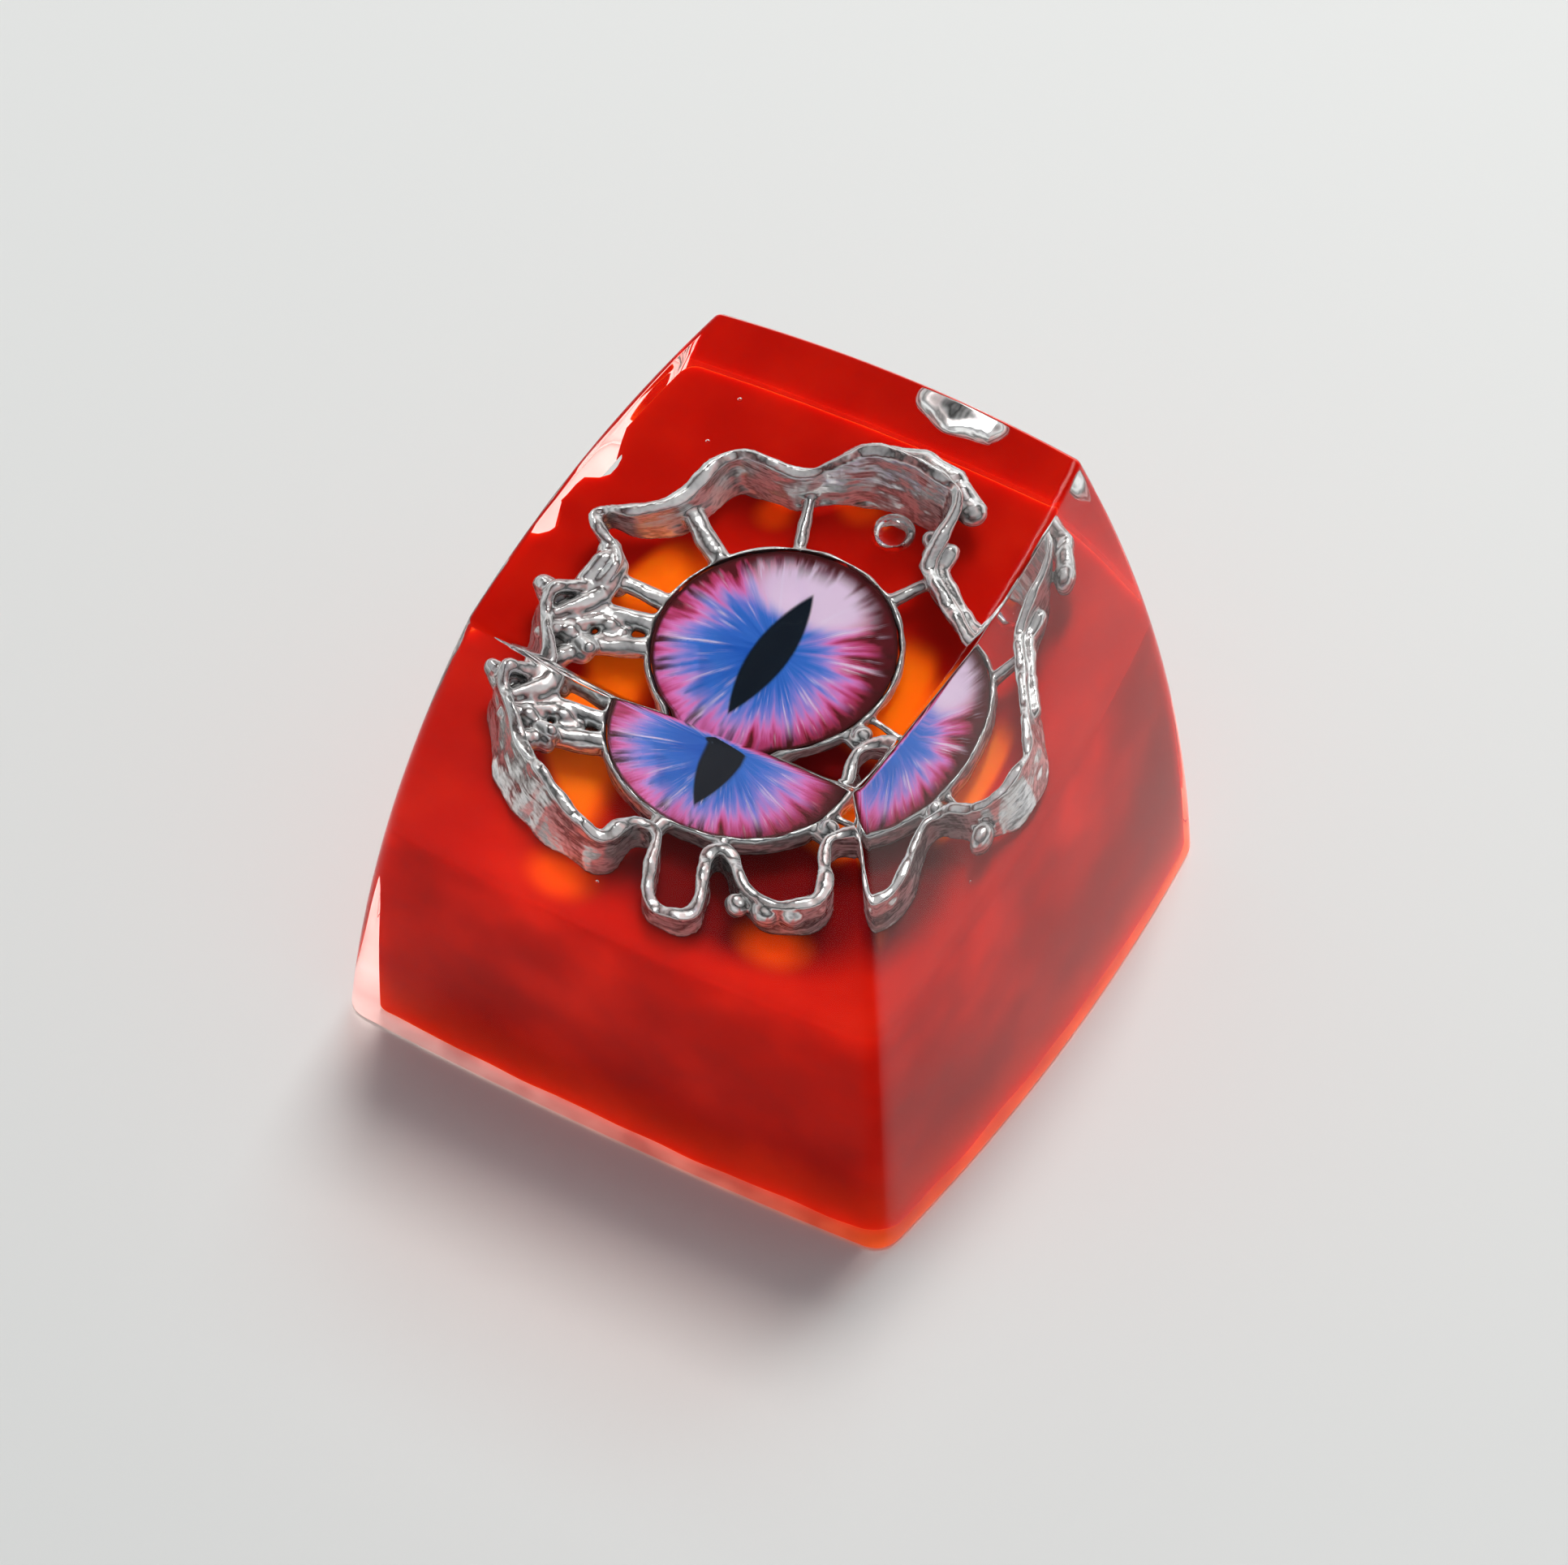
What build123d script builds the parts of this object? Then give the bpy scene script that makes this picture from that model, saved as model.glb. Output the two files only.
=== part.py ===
from build123d import *
import math
import os

# Resin keycap with a glass eye in a ruffled silver setting, in millimetres.
# The origin is the middle of the base. +Z is up, +Y is away from the typist.

# Outside of the cap
base_width = 18.5
base_depth = 17.9
top_width = 12.55
top_depth = 12.95
height = 14.5
top_shift = 1.03
top_tilt = 5.7
side_bulge = 0.39
end_bulge = 0.50
base_side_bow = 0.57
base_end_bow = 0.26
top_side_bow = 0.40
top_end_bow = 0.38
base_corner = 0.5
top_corner = 0.2
top_edge = 0.15

# Clear wall, red core and the hollow underside
clear_wall = 0.9
clear_shoulder = 0.4
core_wall = 0.55
core_corner = 0.3
cavity_corner = 0.6
rim_height = 0.9
core_roof = 2.0

# Stem post and its cross socket
post_diameter = 5.5
post_recess = 0.4
socket_length = 4.1
socket_width = 1.3
socket_depth = 3.8

# Seat of the eye: its middle, and its lean towards the typist
eye_x = 0.15
eye_y = 0.36
eye_height = 8.62
seat_tilt = 7.0

# Glass eye
eye_diameter = 6.64
print_thickness = 0.12
dome_edge = 0.35
dome_height = 1.9

# Ruffled setting
bezel_wall = 0.26
bezel_rise = 0.3
ledge_width = 0.55
setting_foot = 0.38
setting_gap = 0.25
collar_height = 1.0
collar_thickness = 0.32
collar_clearance = 0.62
collar_tilt = 3.7
collar_high_side = 130
strut_diameter = 0.5
strut_lift = 0.12

# Bends of the ruffle, once round the eye: angle in degrees, then shares of the room between bezel and wall:
# reach, radius (plus for an outward bend, minus for an inward one), and how far the top leans out
ruffle = [
    (-168, 0.96, 0.13, 0.0),
    (-138, 0.96, 0.91, -0.03),
    (-108, 0.80, 0.13, -0.03),
    (-100, 0.21, -0.07, 0.0),
    (-82, 1.03, 0.19, 0.0),
    (-71, 0.14, -0.06, 0.0),
    (-52, 0.83, 0.29, 0.0),
    (-25, 0.22, -0.14, 0.0),
    (5, 1.06, 0.49, 0.0),
    (53, 0.38, -0.26, 0.03),
    (85, 0.76, 0.34, 0.34),
    (113, 0.52, -0.26, 0.17),
    (130, 0.77, 0.13, 0.19),
    (149, 0.53, -0.37, 0.13),
    (166, 0.95, 0.13, 0.07),
    (179, 0.47, -0.14, 0.03),
]
# The one strut that crosses to an outward bend: angle, and reach as a share of the same room
long_strut = (-155, 0.86)


def blend(start, end, share):
    return start + (end - start) * share


def corner_half(z):
    # Half sizes between the corners of the cap at one height
    share = z / height
    swell = 4 * share * (1 - share)
    half_x = blend(base_width / 2 - base_side_bow, top_width / 2 - top_side_bow, share) + side_bulge * swell
    half_y = blend(base_depth / 2 - base_end_bow, top_depth / 2 - top_end_bow, share) + end_bulge * swell
    return half_x, half_y


def wall_bows(z):
    share = z / height
    return blend(base_side_bow, top_side_bow, share), blend(base_end_bow, top_end_bow, share)


def end_wall(level, slope, inset, end, bow_share):
    # Half width and depth at which a sloping plane meets the front wall (end -1) or the back wall (end 1)
    depth = 0
    for attempt in range(10):
        z = level + slope * depth
        half_x, half_y = corner_half(z)
        side_bow, end_bow = wall_bows(z)
        depth = top_shift * z / height + end * (half_y - inset + end_bow * bow_share)
    return half_x - inset, depth


def cap_section(level, tilt, inset, corner):
    # Section of the cap on a plane that rises to the back: four bowed walls with eased corners, set in
    # from the outside
    lean = math.radians(tilt)
    slope = math.tan(lean)
    front_half, front = end_wall(level, slope, inset, -1, 0)
    back_half, back = end_wall(level, slope, inset, 1, 0)
    front_crown = end_wall(level, slope, inset, -1, 1)[1]
    back_crown = end_wall(level, slope, inset, 1, 1)[1]
    middle = (front + back) / 2
    side_level = level + slope * middle
    side_crown = corner_half(side_level)[0] - inset + wall_bows(side_level)[0]
    plane = Plane((0, 0, level), x_dir=(1, 0, 0), z_dir=(0, -math.sin(lean), math.cos(lean)))
    front, front_crown, middle, back, back_crown = (
        depth / math.cos(lean) for depth in (front, front_crown, middle, back, back_crown)
    )
    with BuildSketch(plane) as section:
        with BuildLine():
            ThreePointArc((-front_half, front), (0, front_crown), (front_half, front))
            ThreePointArc((front_half, front), (side_crown, middle), (back_half, back))
            ThreePointArc((back_half, back), (0, back_crown), (-back_half, back))
            ThreePointArc((-back_half, back), (-side_crown, middle), (-front_half, front))
        make_face()
        chamfer(section.vertices(), length=corner)
    return section.sketch


def outer_section(share, inset=0):
    # The sections turn from level at the base to the slope of the top
    return cap_section(height * share, top_tilt * share, inset, blend(base_corner, top_corner, share))


# Planes and axes that the pieces share
seat_lean = math.radians(seat_tilt)
seat_normal = (0, -math.sin(seat_lean), math.cos(seat_lean))
seat = Plane((eye_x, eye_y, eye_height), x_dir=(1, 0, 0), z_dir=seat_normal)
eye_axis = Axis(seat.origin, seat.z_dir)
eye_section = Plane(seat.origin, x_dir=seat.x_dir, z_dir=-seat.y_dir)
foot = -print_thickness - setting_foot
core_height = eye_height + (foot - setting_gap) / math.cos(seat_lean) - eye_y * math.tan(seat_lean)
ceiling = core_height - core_roof

# The collar stands on a level foot, and its top rises to one side
collar_foot = seat.offset(foot)
rise = math.tan(math.radians(collar_tilt))
high_side = math.radians(collar_high_side)
uphill = seat.x_dir * math.cos(high_side) + seat.y_dir * math.sin(high_side)
collar_middle = seat.offset(foot + collar_height).origin
collar_top = Plane(collar_middle, x_dir=seat.x_dir, z_dir=seat.z_dir - uphill * rise)

eye_radius = eye_diameter / 2
bezel_radius = eye_radius + bezel_wall
crown = dome_height - dome_edge
crown_radius = (eye_radius**2 + crown**2) / (2 * crown)


def collar_reach():
    # Room for the collar between the bezel and the nearest wall at its height
    half_x, half_y = corner_half(eye_height)
    side_bow, end_bow = wall_bows(eye_height)
    to_side = half_x + side_bow - abs(eye_x)
    to_front = half_y + end_bow + eye_y - top_shift * eye_height / height
    return min(to_side, to_front) - collar_clearance - bezel_radius


def collar_line(plane, lean_share, inset):
    # One closed line of the ruffle: its bends, joined by straight runs that touch both neighbours
    room = collar_reach()
    bends = []
    for angle, share, radius, lean in ruffle:
        turn = math.radians(angle)
        distance = bezel_radius + room * (share - radius + lean * lean_share)
        bends.append((distance * math.cos(turn), distance * math.sin(turn), room * radius - inset))
    facings = []
    for (x, y, radius), (next_x, next_y, next_radius) in zip(bends, bends[1:] + bends[:1]):
        gap = math.hypot(next_x - x, next_y - y)
        heading = math.atan2(next_y - y, next_x - x)
        facings.append(heading - math.acos((radius - next_radius) / gap))
    arcs = []
    for index, (x, y, radius) in enumerate(bends):
        swing = (facings[index] - facings[index - 1]) % (2 * math.pi)
        if radius < 0:
            swing -= 2 * math.pi
        angles = [facings[index - 1] + swing * step / 2 for step in range(3)]
        arcs.append([(x + radius * math.cos(angle), y + radius * math.sin(angle)) for angle in angles])
    with BuildSketch(plane) as line:
        with BuildLine():
            for arc, next_arc in zip(arcs, arcs[1:] + arcs[:1]):
                ThreePointArc(*arc)
                Line(arc[2], next_arc[0])
        make_face()
    return line.sketch


# Printed disc
with BuildPart() as eye_print:
    with BuildSketch(seat.offset(-print_thickness)):
        Circle(eye_radius)
    extrude(amount=print_thickness)

# Glass cabochon over the print
with BuildPart() as eye_dome:
    with BuildSketch(eye_section):
        with BuildLine():
            Polyline((0, dome_height), (0, 0), (eye_radius, 0), (eye_radius, dome_edge))
            RadiusArc((eye_radius, dome_edge), (0, dome_height), -crown_radius)
        make_face()
    revolve(axis=eye_axis)

# Silver setting: bezel with a ledge under the eye, struts and the ruffled collar
with BuildPart() as ruffle_setting:
    outside = [collar_line(collar_foot, 0, 0), collar_line(collar_top, 1, 0)]
    inside = [collar_line(collar_foot, 0, collar_thickness), collar_line(collar_top, 1, collar_thickness)]
    loft(sections=outside, ruled=True)
    loft(sections=inside, ruled=True, mode=Mode.SUBTRACT)
    with BuildSketch(eye_section):
        with BuildLine():
            Polyline(
                (eye_radius - ledge_width, foot),
                (bezel_radius, foot),
                (bezel_radius, bezel_rise),
                (eye_radius, bezel_rise),
                (eye_radius, -print_thickness),
                (eye_radius - ledge_width, -print_thickness),
                close=True,
            )
        make_face()
    revolve(axis=eye_axis)
    strut_level = foot + strut_diameter / 2 + strut_lift
    strut_start = eye_radius + bezel_wall / 2
    inward_bends = [(angle, share) for angle, share, radius, lean in ruffle if radius < 0]
    for angle, share in inward_bends + [long_strut]:
        turn = math.radians(angle)
        strut_end = bezel_radius + collar_reach() * share - collar_thickness / 2
        outward = seat.x_dir * math.cos(turn) + seat.y_dir * math.sin(turn)
        start = seat.origin + outward * strut_start + seat.z_dir * strut_level
        with BuildSketch(Plane(start, z_dir=outward)):
            RegularPolygon(strut_diameter / 2, 6)
        extrude(amount=strut_end - strut_start)

# Outside of the core, before it is hollowed
with BuildPart() as core_blank:
    core_foot = cap_section(rim_height, 0, clear_wall, core_corner)
    core_top = cap_section(core_height, seat_tilt, clear_shoulder, core_corner)
    loft(sections=[core_foot, core_top], ruled=True)

# Hollow under the cap, open at the base
with BuildPart() as cavity:
    cavity_inset = clear_wall + core_wall
    mouth = cap_section(0, 0, cavity_inset, cavity_corner)
    roof = cap_section(ceiling, 0, cavity_inset, cavity_corner)
    loft(sections=[mouth, roof], ruled=True)

# Red core with its post and cross socket
with BuildPart() as red_core:
    add(core_blank.part)
    add(cavity.part, mode=Mode.SUBTRACT)
    with BuildSketch(Plane.XY.offset(post_recess)):
        Circle(post_diameter / 2)
    extrude(until=Until.NEXT)
    with BuildSketch(Plane.XY.offset(post_recess)):
        Rectangle(socket_length, socket_width)
        Rectangle(socket_width, socket_length)
    extrude(amount=socket_depth, mode=Mode.SUBTRACT)

# Clear casting round everything else
with BuildPart() as clear_body:
    shoulder = 1 - top_edge / height
    loft(sections=[outer_section(shoulder * step / 3) for step in range(4)])
    loft(sections=[outer_section(shoulder), outer_section(1, top_edge)], ruled=True)
    add(core_blank.part, mode=Mode.SUBTRACT)
    add(cavity.part, mode=Mode.SUBTRACT)
    for piece in (ruffle_setting, eye_dome, eye_print):
        add(piece.part, mode=Mode.SUBTRACT)

os.makedirs("parts", exist_ok=True)
pieces = {
    "clear_body": clear_body,
    "red_core": red_core,
    "ruffle_setting": ruffle_setting,
    "eye_dome": eye_dome,
    "eye_print": eye_print,
}
for name, piece in pieces.items():
    piece.part.label = name
    export_step(piece.part, f"parts/{name}.step")
    print(name, len(piece.part.solids()), round(piece.part.volume, 2), piece.part.is_valid)
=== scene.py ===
import math

import bmesh
import bpy
from mathutils import Matrix, Vector, noise


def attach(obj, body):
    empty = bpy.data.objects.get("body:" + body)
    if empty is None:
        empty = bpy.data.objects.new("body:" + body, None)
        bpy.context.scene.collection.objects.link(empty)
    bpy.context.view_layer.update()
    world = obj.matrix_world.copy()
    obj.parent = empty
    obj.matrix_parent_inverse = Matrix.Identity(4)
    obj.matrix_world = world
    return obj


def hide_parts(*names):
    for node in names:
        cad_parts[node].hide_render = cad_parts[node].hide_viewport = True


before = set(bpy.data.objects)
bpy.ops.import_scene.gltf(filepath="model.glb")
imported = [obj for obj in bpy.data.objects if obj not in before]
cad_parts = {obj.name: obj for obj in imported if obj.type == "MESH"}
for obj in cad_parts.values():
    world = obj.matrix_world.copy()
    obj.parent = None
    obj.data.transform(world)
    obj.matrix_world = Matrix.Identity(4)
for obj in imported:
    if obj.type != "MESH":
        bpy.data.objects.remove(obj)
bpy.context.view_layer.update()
mm = 0.001
print("frame loaded:", sorted(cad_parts))


def linearHex(code):
    # sRGB hex to the linear colour that the shaders take
    channels = [int(code[at:at + 2], 16) / 255 for at in (1, 3, 5)]
    return [c / 12.92 if c <= 0.04045 else ((c + 0.055) / 1.055) ** 2.4 for c in channels] + [1.0]


def addNode(tree, kind, settings=None, links=None):
    # settings name attributes or inputs, links give (node, output) for an input
    node = tree.nodes.new(kind)
    for key, value in (settings or {}).items():
        if isinstance(key, str) and hasattr(node, key):
            setattr(node, key, value)
        else:
            node.inputs[key].default_value = value
    for key, (source, output) in (links or {}).items():
        tree.links.new(source.outputs[output], node.inputs[key])
    return node


def newMaterial(name):
    material = bpy.data.materials.new(name)
    material.use_nodes = True
    material.node_tree.nodes.clear()
    return material, material.node_tree


def setRamp(node, stops):
    ramp = node.color_ramp
    while len(ramp.elements) < len(stops):
        ramp.elements.new(0.5)
    for element, (place, colour) in zip(ramp.elements, stops):
        element.position = place
        element.color = linearHex(colour)


def paintLayers(tree, ground, layers, measures):
    # Colours laid one over the other on a plain or painted ground. Each shows where all its measures
    # are inside their soft windows. A measure gives its node, its output and the unit of its windows
    for colour, windows in layers:
        share = None
        for measure, start, end in windows:
            source, output, unit = measures[measure]
            shown = addNode(tree, "ShaderNodeMapRange", {
                "interpolation_type": "SMOOTHSTEP", "From Min": start * unit, "From Max": end * unit},
                {"Value": (source, output)})
            if share is not None:
                shown = addNode(tree, "ShaderNodeMath", {"operation": "MULTIPLY"},
                                {0: (share, 0), 1: (shown, 0)})
            share = shown
        settings = {"data_type": "RGBA", 7: linearHex(colour)}
        links = {0: (share, 0)}
        if isinstance(ground, str):
            settings[6] = linearHex(ground)
        else:
            links[6] = ground
        ground = (addNode(tree, "ShaderNodeMix", settings, links), 2)
    return ground


def makeObject(name, points, faces, material, smooth=True):
    mesh = bpy.data.meshes.new(name)
    mesh.from_pydata([Vector(p) * mm for p in points], [], faces)
    mesh.update()
    piece = bpy.data.objects.new(name, mesh)
    bpy.context.scene.collection.objects.link(piece)
    mesh.materials.append(material)
    for polygon in mesh.polygons:
        polygon.use_smooth = smooth
    return piece


def skinRows(rows, closeStart=None, closeEnd=None):
    # Rows of equal length become a skin that is closed round, with a middle point at either end
    width = len(rows[0])
    points = [p for row in rows for p in row]
    faces = []
    for row in range(len(rows) - 1):
        for here in range(width):
            beside = (here + 1) % width
            above, below = row * width, (row + 1) * width
            faces.append((above + here, below + here, below + beside, above + beside))
    for middle, row, turned in ((closeStart, 0, False), (closeEnd, len(rows) - 1, True)):
        if middle is None:
            continue
        points.append(middle)
        for here in range(width):
            fan = (row * width + here, row * width + (here + 1) % width, len(points) - 1)
            faces.append(fan[::-1] if turned else fan)
    return points, faces


# The cap's outside, the same sizes as the solid, in mm and degrees. The hidden values shape the inner face of
# the clear body, which lies out of sight inside the red core
capShape = {
    "baseWidth": 18.5, "baseDepth": 17.9, "topWidth": 12.55, "topDepth": 12.95,
    "height": 14.5, "topShift": 1.03, "topTilt": 5.7,
    "sideBulge": 0.39, "endBulge": 0.50,
    "baseSideBow": 0.57, "baseEndBow": 0.26, "topSideBow": 0.40, "topEndBow": 0.38,
    "baseCorner": 0.7, "topCorner": 0.3, "cornerReach": 1.1, "topEdge": 0.15, "baseEdge": 0.2,
    "clearWall": 0.9, "clearShoulder": 0.4, "coreWall": 0.55, "rimHeight": 0.9, "sandedTo": 0.06,
    "cavityCorner": 0.8, "cavityEdge": 0.05, "middleY": 0.5,
    "hiddenLap": 0.12, "hiddenCorner": 0.5, "hiddenRows": (0.33, 0.66, 1.0),
    "sidePoints": 44, "cornerPoints": 10, "wallRows": 48, "edgeSteps": 6, "edgeProbe": 0.5,
    "topRows": (0.3, 0.6, 0.85, 0.97), "planeTurns": 8, "boxShrink": 0.9998,
}
# Air that the pour trapped: angle and reach round the eye, height over its seat, radius
trappedAir = [
    (80, 4.95, 0.15, 0.62), (135, 7.4, 0.3, 0.07), (127, 8.6, 0.4, 0.07), (-100, 7.2, 0.2, 0.06),
    (-20, 7.2, -0.4, 0.06),
]
# The eye's seat: its middle, its lean to the front and the eye's radius. The setting's foot is measured from
# the seat, and the red core's top lies a gap below that foot
eyeSeat = {"x": 0.15, "y": 0.36, "z": 8.62, "tilt": 7.0, "radius": 3.32, "foot": -0.5, "coreGap": 0.25}

seatLean = math.radians(eyeSeat["tilt"])
seatMiddle = Matrix.Translation((eyeSeat["x"], eyeSeat["y"], eyeSeat["z"]))
seatFrame = seatMiddle @ Matrix.Rotation(seatLean, 4, "X")


def mix(a, b, share):
    return a + (b - a) * share


def polarPlace(angle, reach, height):
    turn = math.radians(angle)
    return Vector((reach * math.cos(turn), reach * math.sin(turn), height))


def addDrop(work, place, radius):
    made = bmesh.ops.create_icosphere(work, subdivisions=3, radius=radius * mm,
                                      matrix=Matrix.Translation((seatFrame @ Vector(place)) * mm))
    return made["verts"]


def seatCoords(tree, size, shift=(0, 0, 0)):
    # Coordinates over the eye's seat, counted in the given sizes in mm
    coords = addNode(tree, "ShaderNodeTexCoord")
    return addNode(tree, "ShaderNodeMapping", {
        "vector_type": "TEXTURE", "Location": seatFrame @ Vector(shift) * mm, "Rotation": (seatLean, 0, 0),
        "Scale": Vector(size) * mm}, {"Vector": (coords, "Object")})


def wallPoint(side, along, z, inset):
    # A point on one bowed wall: front, right, back, left. along runs -1 to 1 between its corners
    cap = capShape
    rise = z / cap["height"]
    swell = 4 * rise * (1 - rise)
    sideBow = mix(cap["baseSideBow"], cap["topSideBow"], rise)
    endBow = mix(cap["baseEndBow"], cap["topEndBow"], rise)
    halfX = mix(cap["baseWidth"] / 2 - cap["baseSideBow"], cap["topWidth"] / 2 - cap["topSideBow"], rise)
    halfY = mix(cap["baseDepth"] / 2 - cap["baseEndBow"], cap["topDepth"] / 2 - cap["topEndBow"], rise)
    halfX += cap["sideBulge"] * swell - inset
    halfY += cap["endBulge"] * swell - inset
    bow = 1 - along * along
    middle = cap["topShift"] * rise
    return (
        (along * halfX, middle - halfY - endBow * bow),
        (halfX + sideBow * bow, middle + along * halfY),
        (-along * halfX, middle + halfY + endBow * bow),
        (-halfX - sideBow * bow, middle - along * halfY),
    )[side]


def capColumns():
    # Each column is a wall and a place on it, or a corner and a share of its turn
    columns = []
    for side in range(4):
        for step in range(capShape["sidePoints"]):
            columns.append(("wall", side, step / (capShape["sidePoints"] - 1)))
        for step in range(1, capShape["cornerPoints"]):
            columns.append(("corner", side, step / capShape["cornerPoints"]))
    return columns


def columnPoint(column, z, inset, corner):
    kind, side, share = column
    half = (capShape["baseWidth"] if side % 2 == 0 else capShape["baseDepth"]) / 2
    nextHalf = (capShape["baseDepth"] if side % 2 == 0 else capShape["baseWidth"]) / 2
    reach = 1 - capShape["cornerReach"] * corner / half
    nextReach = 1 - capShape["cornerReach"] * corner / nextHalf
    if kind == "wall":
        x, y = wallPoint(side, mix(-reach, reach, share), z, inset)
    else:
        start = Vector(wallPoint(side, reach, z, inset))
        tip = Vector(wallPoint(side, 1, z, inset))
        end = Vector(wallPoint((side + 1) % 4, -nextReach, z, inset))
        x, y = start * (1 - share) ** 2 + tip * 2 * share * (1 - share) + end * share ** 2
    return Vector((x, y, z))


def planeHeight(y, centre, tilt):
    return centre + math.tan(math.radians(tilt)) * y


def meetPlane(column, inset, cornerAt, centre, tilt):
    # Height at which a column meets a plane that rises to the back
    z = centre
    for turn in range(capShape["planeTurns"]):
        z = planeHeight(columnPoint(column, z, inset, cornerAt(z)).y, centre, tilt)
    return z


def outerCorner(z):
    return mix(capShape["baseCorner"], capShape["topCorner"], z / capShape["height"])


def outerPoint(column, z):
    return columnPoint(column, z, 0, outerCorner(z))


def roundEdge(tip, first, second, reach):
    # Points of a rounded edge between two directions that leave its tip
    a = tip + first * reach
    b = tip + second * reach
    shares = [k / capShape["edgeSteps"] for k in range(capShape["edgeSteps"] + 1)]
    return [a * (1 - t) ** 2 + tip * 2 * t * (1 - t) + b * t * t for t in shares]


def inwardAt(ring, index):
    # Level direction into the cap at one point of a ring
    along = (ring[(index + 1) % len(ring)] - ring[index - 1]).normalized()
    return Vector((-along.y, along.x, 0)).normalized()


def buildClearBody(material, footMaterial):
    cap = capShape
    columns = capColumns()
    topCut = [meetPlane(c, 0, outerCorner, cap["height"], cap["topTilt"]) for c in columns]
    tips = [outerPoint(c, z) for c, z in zip(columns, topCut)]
    feet = [outerPoint(c, 0) for c in columns]
    slope = math.tan(math.radians(cap["topTilt"]))
    topEdges, baseEdges, walls = [], [], []
    for index, column in enumerate(columns):
        inward = inwardAt(tips, index)
        inPlane = (inward + Vector((0, 0, slope * inward.y))).normalized()
        down = (outerPoint(column, topCut[index] - cap["edgeProbe"]) - tips[index]).normalized()
        topEdges.append(roundEdge(tips[index], inPlane, down, cap["topEdge"]))
        up = (outerPoint(column, cap["edgeProbe"]) - feet[index]).normalized()
        baseEdges.append(roundEdge(feet[index], up, inwardAt(feet, index), cap["baseEdge"]))
        shares = [k / cap["wallRows"] for k in range(1, cap["wallRows"])]
        walls.append([outerPoint(column, mix(topEdges[-1][-1].z, baseEdges[-1][0].z, t)) for t in shares])
    middle = Vector((0, cap["topShift"], planeHeight(cap["topShift"], cap["height"], cap["topTilt"])))
    rows = [[middle + (edge[0] - middle) * share for edge in topEdges] for share in cap["topRows"]]
    for outline in (topEdges, walls, baseEdges):
        rows += [list(row) for row in zip(*outline)]
    # The cavity for the red core, from the rim up to the roof under the eye
    lap = cap["hiddenLap"]
    cavityInset = cap["clearWall"] + cap["coreWall"]
    ledge = cap["rimHeight"] + lap
    for z, inset, corner in (
        (0, cavityInset - cap["cavityEdge"], cap["cavityCorner"]),
        (cap["cavityEdge"], cavityInset, cap["cavityCorner"]),
        (ledge, cavityInset, cap["cavityCorner"]),
        (ledge, cap["clearWall"] + lap, cap["hiddenCorner"]),
    ):
        rows.append([columnPoint(c, z, inset, corner) for c in columns])
    roof = eyeSeat["z"] + eyeSeat["foot"] - eyeSeat["coreGap"] - lap
    shoulder = cap["clearShoulder"] + lap
    corner = cap["hiddenCorner"]
    hiddenTop = [meetPlane(c, shoulder, lambda z: corner, roof, eyeSeat["tilt"]) for c in columns]
    for share in cap["hiddenRows"]:
        inset = mix(cap["clearWall"], cap["clearShoulder"], share) + lap
        rows.append([columnPoint(c, mix(ledge, z, share), inset, corner) for c, z in zip(columns, hiddenTop)])
    hiddenMiddle = Vector((0, cap["middleY"], planeHeight(cap["middleY"], roof, eyeSeat["tilt"])))
    points, faces = skinRows(rows, middle, hiddenMiddle)
    # A hair smaller, so that the rounded edges keep inside the CAD box
    piece = makeObject("clearBody", [Vector(p) * cap["boxShrink"] for p in points], faces, material)
    work = bmesh.new()
    work.from_mesh(piece.data)
    for angle, reach, level, radius in trappedAir:
        bubble = addDrop(work, polarPlace(angle, reach, level), radius)
        bmesh.ops.reverse_faces(work, faces=list({face for vert in bubble for face in vert.link_faces}))
    for face in work.faces:
        face.smooth = True
        if max(vert.co.z for vert in face.verts) < cap["sandedTo"] * mm:
            face.material_index = 1
    work.to_mesh(piece.data)
    work.free()
    piece.data.materials.append(footMaterial)
    return piece


# Clear casting resin, poured and polished: glassy, with a faint hand-polished unevenness. On the right side a
# painted reflection of the lit floor lays a thin milky haze over the red. Its mirror is darkened, to keep the
# red deep
resinLook = {
    "tint": "#fffdfa", "mirror": "#1e1e1e", "ior": 1.5, "roughness": 0.01,
    "wave": 2.4, "waveStrength": 0.05, "waveDepth": 0.1,
    # painted reflection on the right side: its strength, colour, facing, reach across x and patches
    "paintedReflectionStrength": 0.05, "paintedReflectionColour": "#ffeee8", "paintedReflectionFacing": (0.75, 0.92), "paintedReflectionFrom": (0.0, 1.0),
    "reflectionPatches": (6.0, 4.0, 3.0), "reflectionPatchShare": (0.4, 1.6), "shadow": "#f0e6e4",
}


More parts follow.
